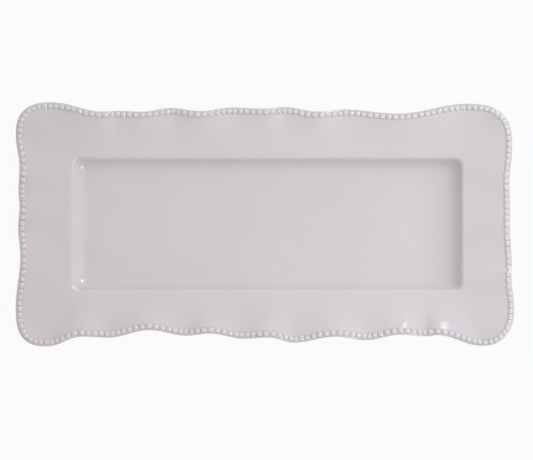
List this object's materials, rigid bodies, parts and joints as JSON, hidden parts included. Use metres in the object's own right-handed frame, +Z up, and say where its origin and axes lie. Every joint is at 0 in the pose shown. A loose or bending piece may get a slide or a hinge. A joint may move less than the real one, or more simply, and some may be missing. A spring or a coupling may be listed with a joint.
{
  "type": "serving platter",
  "caption": "Long rectangular china serving platter with a straight-walled well, a broad scalloped rim edged with a row of pearls, and a foot ring underneath.",
  "frame": {"origin": "middle of the platter's outline, at the level of the foot ring's ground face, which rests on the table", "axes": "+X along the platter's length, +Y across its width, +Z up, out of the well"},
  "size_m": [0.5, 0.2449, 0.0319],
  "materials": {
    "glazed_china": "gloss",
    "pearl_china": "gloss",
    "bisque_foot": "matte"
  },
  "bodies": {
    "root": {"platter_body": "glazed_china", "foot_ring": "bisque_foot", "pearls_east_1": "pearl_china", "pearls_east_2": "pearl_china", "pearls_corner_ne": "pearl_china", "pearls_north_1": "pearl_china", "pearls_north_2": "pearl_china", "pearls_north_3": "pearl_china", "pearls_north_4": "pearl_china", "pearls_north_5": "pearl_china", "pearls_corner_nw": "pearl_china", "pearls_west_1": "pearl_china", "pearls_west_2": "pearl_china", "pearls_corner_sw": "pearl_china", "pearls_south_1": "pearl_china", "pearls_south_2": "pearl_china", "pearls_south_3": "pearl_china", "pearls_south_4": "pearl_china", "pearls_south_5": "pearl_china", "pearls_south_6": "pearl_china", "pearls_corner_se": "pearl_china"}
  },
  "joints": []
}
